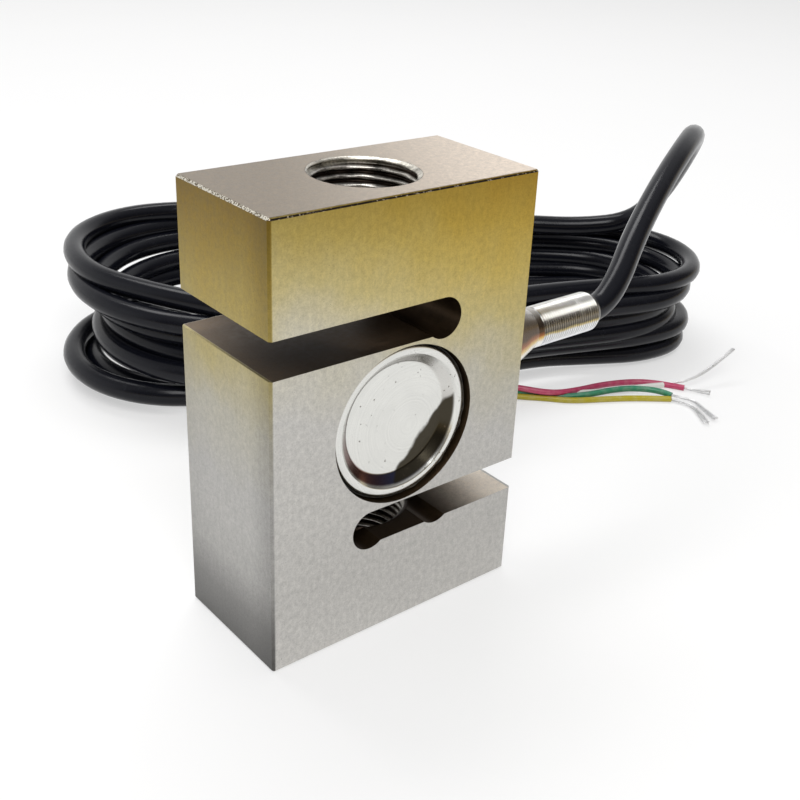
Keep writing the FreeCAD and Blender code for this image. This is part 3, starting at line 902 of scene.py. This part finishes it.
class BuildCable(bpy.types.Operator):
    """Lays the cable, its coil, its four cores and their frayed ends"""
    bl_idname = "load_cell.cable"
    bl_label = "Cable"

    def execute(self, context):
        sizes, finishes = context.scene.load_cell_cable, bpy.data.materials
        route = from_mouth(np.vstack([LEAD, coil_route(sizes.turns, sizes.diameter), TAIL]))
        sheath = add_piece("cable", smooth_line("cable", route, sizes.diameter),
                           finishes["sheath_pvc"],
                           ["cable_lead", "cable_coil", "cable_tail"])
        for seed, (name, core_points) in enumerate(CORES.items(), 20):
            points = from_mouth(core_points)
            line = smooth_line("insulated_" + name, points, sizes.core_diameter)
            core = add_piece("insulated_" + name, line, finishes["insulation_" + name],
                             ["core_" + name])
            tip = from_mouth([core_points[-1]] + STRANDS[name])
            tubes = wire_tubes(sampled(smooth_line("tip", tip, sizes.wire_diameter)),
                               sizes.wires, sizes.wire_diameter, seed)
            frayed = add_piece("frayed_" + name, frayed_mesh("frayed_" + name, tubes),
                               finishes["tinned_wire"], ["strand_" + name])
            length = float(np.linalg.norm(np.diff(sampled(line), axis=0), axis=1).sum())
        return {"FINISHED"}


class BuildFinishes(bpy.types.Operator):
    """Makes every finish and puts those of the plain parts on them"""
    bl_idname = "load_cell.finishes"
    bl_label = "Finishes"

    def execute(self, context):
        colours = context.scene.load_cell_colours
        by_slot = {
            "nickel_plated_steel": plated_steel(),
            "pressed_cover_steel": pressed_sheet(),
            "dark_sealant": sealant(),
            "gauge_foil": plain_film("gauge_film", (0.60, 0.33, 0.08), (0.45, 0.22, 0.05),
                                     (0.3, 0.45)),
            "terminal_laminate": plain_film("laminate", (0.42, 0.30, 0.08), (0.30, 0.2, 0.05),
                                            (0.4, 0.55)),
            "gland_nickel": turned_nickel(),
            "gland_rubber": plain_film("rubber", (0.02, 0.02, 0.02), (0.035, 0.034, 0.032),
                                       (0.6, 0.75)),
            "cable_sheath": sheath_pvc(colours.sheath),
            "tinned_copper": plain_film("tinned_wire", (0.90, 0.90, 0.90), (0.72, 0.72, 0.73),
                                        (0.25, 0.45), 1500, Metallic=0.5),
        }
        for name in CORES:
            by_slot[CORE_SLOTS[name]] = core_plastic(name, getattr(colours, name))
        for part in frame["record"]["subparts"]:
            node = frame["nodes"][part["node"]]
            node.data.materials.clear()
            node.data.materials.append(by_slot[part["material_slot"]])
        return {"FINISHED"}


# The stage

def lay_floor(scene):
    """A pale board under the part. Half of what the camera and mirrors see of it is glow."""
    floor = bpy.data.meshes.new("floor")
    floor.from_pydata([(-9, -9, 0), (9, -9, 0), (9, 9, 0), (-9, 9, 0)], [], [(0, 1, 2, 3)])
    material, add, place, feed = new_finish("floor_board", Roughness=0.8, Specular_IOR_Level=0.1)
    feed("Base Color", mixed(add, noise(add, place, 20), (0.93, 0.93, 0.93), (0.91, 0.91, 0.91)))
    ray = add("LightPath").outputs
    seen = calc(add, "MAXIMUM", ray["Is Camera Ray"],
                calc(add, "MAXIMUM", ray["Is Glossy Ray"], ray["Is Transmission Ray"]))
    nodes, links = material.node_tree.nodes, material.node_tree.links
    glow = add("Emission", {"Color": (1, 1, 1, 1), "Strength": 1.0}).outputs[0]
    shared = add("MixShader", {0: product(add, seen, 0.5),
                               1: nodes["Principled BSDF"].outputs[0], 2: glow}).outputs[0]
    links.new(shared, nodes["Material Output"].inputs["Surface"])
    floor.materials.append(material)
    board = bpy.data.objects.new("floor", floor)
    scene.collection.objects.link(board)
    board.location.z = -0.02 * MM


def light_studio(scene):
    """A world that is bright behind, dim above the front and warm along its low front."""
    world = bpy.data.worlds.new("studio")
    scene.world = world
    world.use_nodes = True
    add = node_maker(world.node_tree)
    _, y, z = add("SeparateXYZ", {0: add("TexCoord").outputs["Generated"]}).outputs
    rise = between(add, z, 0.35, 0.9)
    upper = mixed(add, rise, (0.14, 0.13, 0.12), (0.45, 0.45, 0.45))
    front = mixed(add, between(add, z, 0.05, 0.14), (0.80, 0.66, 0.40), upper)
    behind = mixed(add, rise, (0.95, 0.95, 0.95), (0.5, 0.5, 0.5))
    colour = mixed(add, between(add, y, -0.25, 0.25), front, behind)
    colour = mixed(add, add("LightPath").outputs["Is Camera Ray"], colour, (1.0, 1.0, 1.0))
    background = world.node_tree.nodes["Background"]
    world.node_tree.links.new(colour, background.inputs["Color"])


def add_lamp(scene, name, place, target, size, power):
    """A soft rectangular lamp at place that shines at target."""
    light = bpy.data.lights.new(name, "AREA")
    light.shape, light.size, light.size_y = "RECTANGLE", *size
    light.energy = power
    holder = bpy.data.objects.new(name, light)
    scene.collection.objects.link(holder)
    place = Vector(place)
    aim = (Vector(target) - place).to_track_quat("-Z", "Y")
    holder.matrix_world = Matrix.LocRotScale(place, aim, None)


def add_camera(scene):
    lens = bpy.data.cameras.new("camera")
    lens.lens, lens.sensor_width = FOCAL_LENGTH, 36
    lens.shift_x, lens.shift_y = LENS_SHIFT
    lens.clip_start = 0.01
    camera = bpy.data.objects.new("camera", lens)
    scene.collection.objects.link(camera)
    turn = Matrix([CAMERA_RIGHT, -CAMERA_DOWN, -CAMERA_AHEAD]).transposed().to_quaternion()
    camera.matrix_world = Matrix.LocRotScale(CAMERA_PLACE, turn, None)
    scene.camera = camera


class BuildStage(bpy.types.Operator):
    """Sets the pale floor, the soft lamps and the camera"""
    bl_idname = "load_cell.stage"
    bl_label = "Stage"

    def execute(self, context):
        scene = context.scene
        lay_floor(scene)
        light_studio(scene)
        add_lamp(scene, "key", (-0.30, -0.50, 0.80), (0, 0, 0.03), (0.5, 0.5), 5.0)
        add_lamp(scene, "overhead", (0.15, 0.45, 0.85), (0.03, 0.05, 0.02), (0.7, 0.3), 3.5)
        add_camera(scene)
        scene.view_settings.view_transform = "Standard"
        return {"FINISHED"}


class LoadCellPanel(bpy.types.Panel):
    """Settings and pieces of the load cell"""
    bl_idname = "VIEW3D_PT_load_cell"
    bl_label = "Load cell"
    bl_space_type = "VIEW_3D"
    bl_region_type = "UI"
    bl_category = "Load cell"

    def draw(self, context):
        for name, group in SETTINGS.items():
            box = self.layout.box()
            settings = getattr(context.scene, name)
            for key in group.__annotations__:
                box.prop(settings, key)
        for operator in OPERATORS:
            self.layout.operator(operator.bl_idname)


SETTINGS = {"load_cell_threads": ThreadSizes, "load_cell_covers": CoverSizes,
            "load_cell_cable": CableSizes, "load_cell_colours": FinishColours}
OPERATORS = [BuildFinishes, BuildThreads, BuildSleeve, BuildCovers, BuildSealant, BuildCable,
             BuildStage]


def register():
    for made in [*SETTINGS.values(), *OPERATORS, LoadCellPanel]:
        bpy.utils.register_class(made)
    for name, group in SETTINGS.items():
        setattr(bpy.types.Scene, name, PointerProperty(type=group))


def unregister():
    for name in SETTINGS:
        delattr(bpy.types.Scene, name)
    for made in reversed([*SETTINGS.values(), *OPERATORS, LoadCellPanel]):
        bpy.utils.unregister_class(made)


def main():
    register()
    bpy.ops.load_cell.finishes()
    bpy.ops.load_cell.threads()
    bpy.ops.load_cell.sleeve()
    bpy.ops.load_cell.covers()
    bpy.ops.load_cell.sealant()
    bpy.ops.load_cell.cable()
    bpy.ops.load_cell.stage()


if __name__ == "__main__":
    main()
